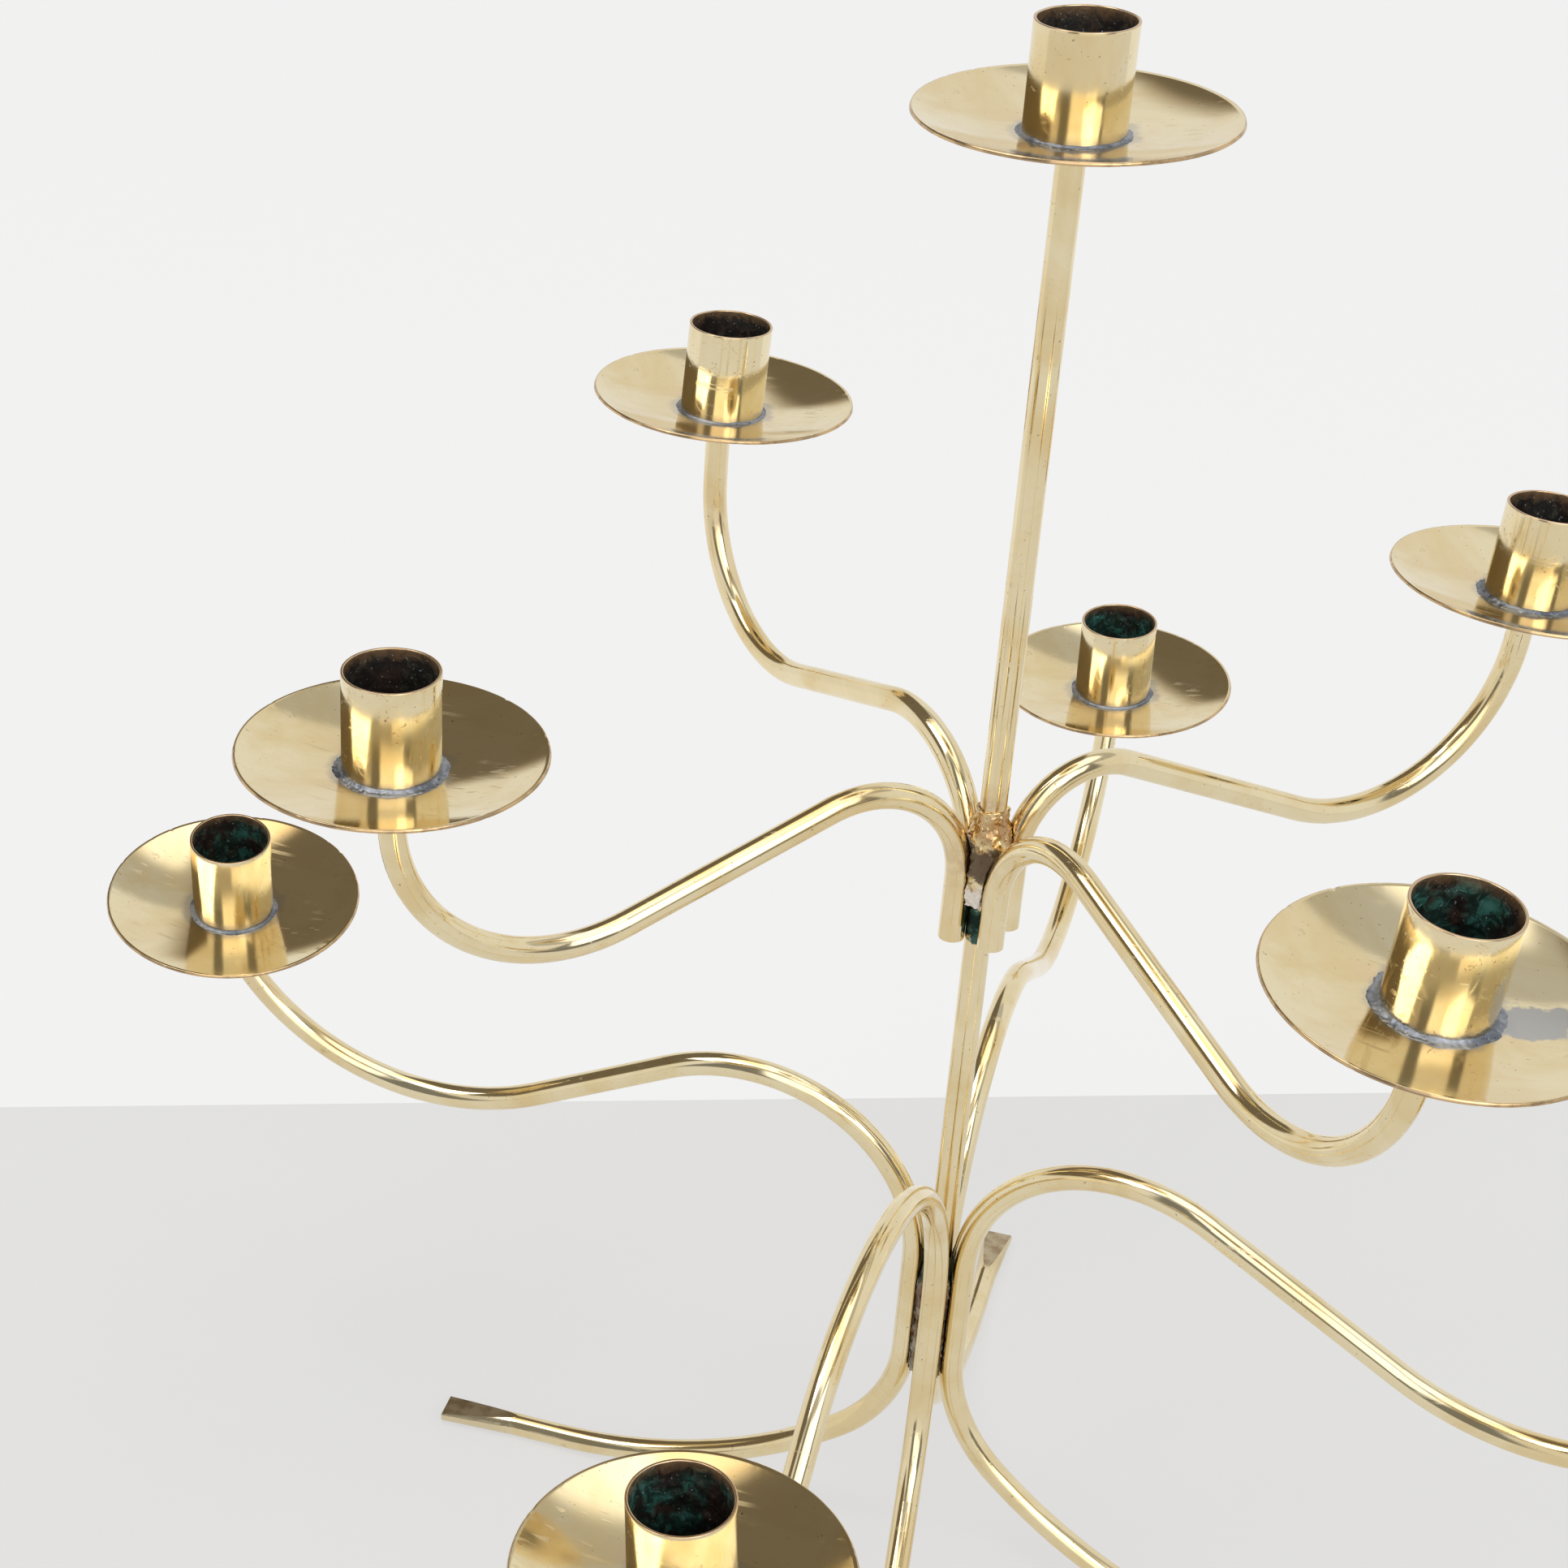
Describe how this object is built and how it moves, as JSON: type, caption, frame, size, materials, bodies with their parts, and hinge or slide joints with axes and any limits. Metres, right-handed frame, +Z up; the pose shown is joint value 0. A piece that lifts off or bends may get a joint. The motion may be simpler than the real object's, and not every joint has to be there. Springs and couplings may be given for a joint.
{
  "type": "candelabrum",
  "caption": "Free-standing branched candelabrum of bent round rod: curved arms on a straight stem, rods that turn out as legs, dished drip pans and tubular candle cups.",
  "frame": {"origin": "on the stem's axis, in the plane the four feet stand on", "axes": "+Z up along the stem; the lower rods lie near the X and Y axes and the front one points to -Y"},
  "size_m": [0.5096, 0.5234, 0.461],
  "materials": {
    "brass_rod": "polished, lightly scratched",
    "brass_pan": "polished sheet",
    "brass_cup": "polished tube, tarnished inside",
    "braze": "as cast, partly tarnished",
    "soft_solder": "dull grey solder"
  },
  "bodies": {
    "root": {"stem": "brass_rod", "upper_arm_back_left": "brass_rod", "upper_arm_front_left": "brass_rod", "upper_arm_front_right": "brass_rod", "upper_arm_back_right": "brass_rod", "lower_rod_left": "brass_rod", "lower_rod_back": "brass_rod", "lower_rod_front": "brass_rod", "lower_rod_right": "brass_rod", "upper_hub_braze": "braze", "lower_hub_braze": "braze", "drip_pan_top": "brass_pan", "candle_cup_top": "brass_cup", "cup_solder_top": "soft_solder", "pan_braze_top": "braze", "drip_pan_upper_back_left": "brass_pan", "candle_cup_upper_back_left": "brass_cup", "cup_solder_upper_back_left": "soft_solder", "pan_braze_upper_back_left": "braze", "drip_pan_upper_front_left": "brass_pan", "candle_cup_upper_front_left": "brass_cup", "cup_solder_upper_front_left": "soft_solder", "pan_braze_upper_front_left": "braze", "drip_pan_upper_front_right": "brass_pan", "candle_cup_upper_front_right": "brass_cup", "cup_solder_upper_front_right": "soft_solder", "pan_braze_upper_front_right": "braze", "drip_pan_upper_back_right": "brass_pan", "candle_cup_upper_back_right": "brass_cup", "cup_solder_upper_back_right": "soft_solder", "pan_braze_upper_back_right": "braze", "drip_pan_lower_left": "brass_pan", "candle_cup_lower_left": "brass_cup", "cup_solder_lower_left": "soft_solder", "pan_braze_lower_left": "braze", "drip_pan_lower_back": "brass_pan", "candle_cup_lower_back": "brass_cup", "cup_solder_lower_back": "soft_solder", "pan_braze_lower_back": "braze", "drip_pan_lower_front": "brass_pan", "candle_cup_lower_front": "brass_cup", "cup_solder_lower_front": "soft_solder", "pan_braze_lower_front": "braze", "drip_pan_lower_right": "brass_pan", "candle_cup_lower_right": "brass_cup", "cup_solder_lower_right": "soft_solder", "pan_braze_lower_right": "braze"}
  },
  "joints": []
}
